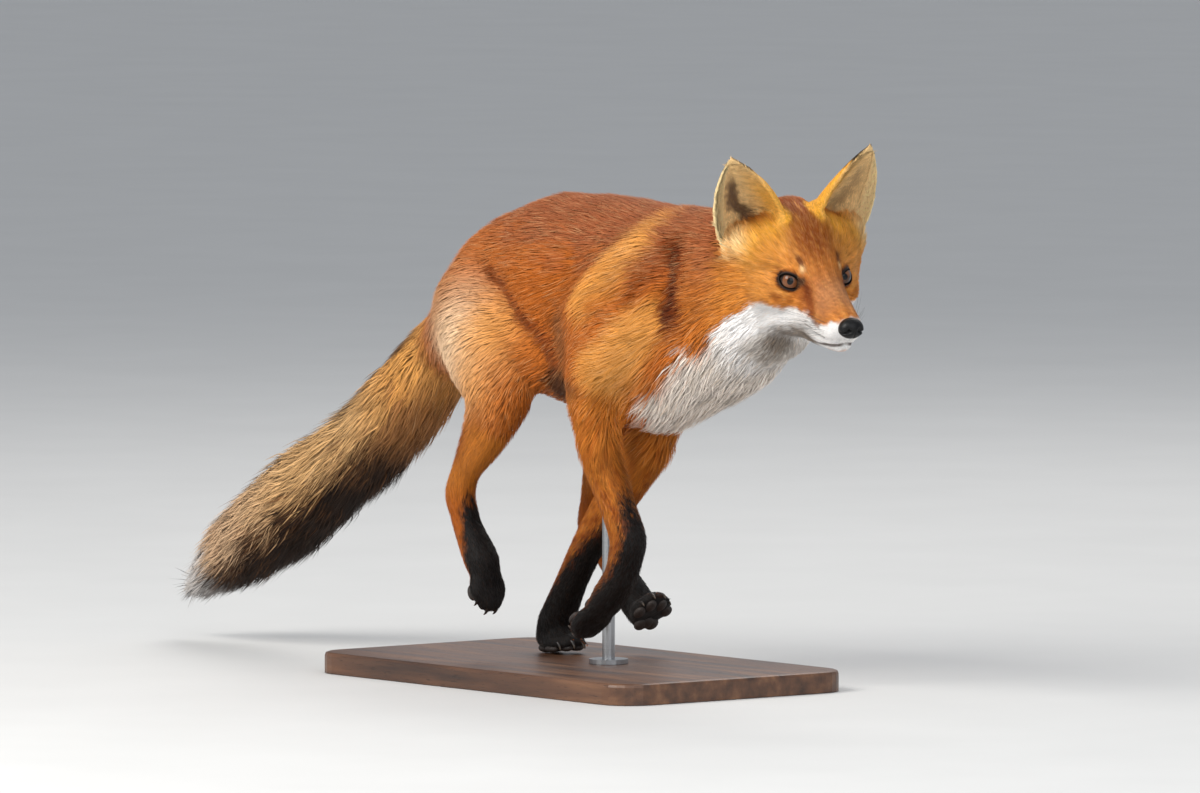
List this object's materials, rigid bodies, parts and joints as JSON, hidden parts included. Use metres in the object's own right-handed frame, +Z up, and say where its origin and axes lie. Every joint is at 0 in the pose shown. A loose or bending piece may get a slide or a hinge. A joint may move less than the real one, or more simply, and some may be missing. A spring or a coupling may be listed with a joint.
{
  "type": "running red fox, museum model",
  "caption": "Life-size red fox in mid-gallop, head turned to its right, held over a flat base by one slim rod under the chest.",
  "frame": {"origin": "middle of the underside of the stand's base", "axes": "+X is the way the fox runs, +Y is its left, +Z is up"},
  "size_m": [0.9703, 0.25, 0.4787],
  "materials": {
    "russet_coat": "thick russet fox fur, white throat and belly",
    "ear_coat": "short cream fur inside, black fur behind",
    "black_stocking": "short flat black fur",
    "tail_coat": "long bushy tan fur with dark guard hairs",
    "eye": "glossy amber eye",
    "nose_leather": "moist black nose leather",
    "claw_horn": "dark horn",
    "base_wood": "satin oiled wood",
    "rod_steel": "brushed steel"
  },
  "bodies": {
    "root": {"trunk": "russet_coat", "neck": "russet_coat", "head": "russet_coat", "ear_left": "ear_coat", "ear_right": "ear_coat", "eye_left": "eye", "eye_right": "eye", "nose": "nose_leather", "foreleg_left": "russet_coat", "foreleg_right": "russet_coat", "hindleg_left": "russet_coat", "hindleg_right": "russet_coat", "forefoot_left": "black_stocking", "forefoot_right": "black_stocking", "hindfoot_left": "black_stocking", "hindfoot_right": "black_stocking", "tail_base": "tail_coat", "tail_middle": "tail_coat", "tail_tip": "tail_coat", "stand_base": "base_wood", "stand_rod": "rod_steel"}
  },
  "joints": []
}
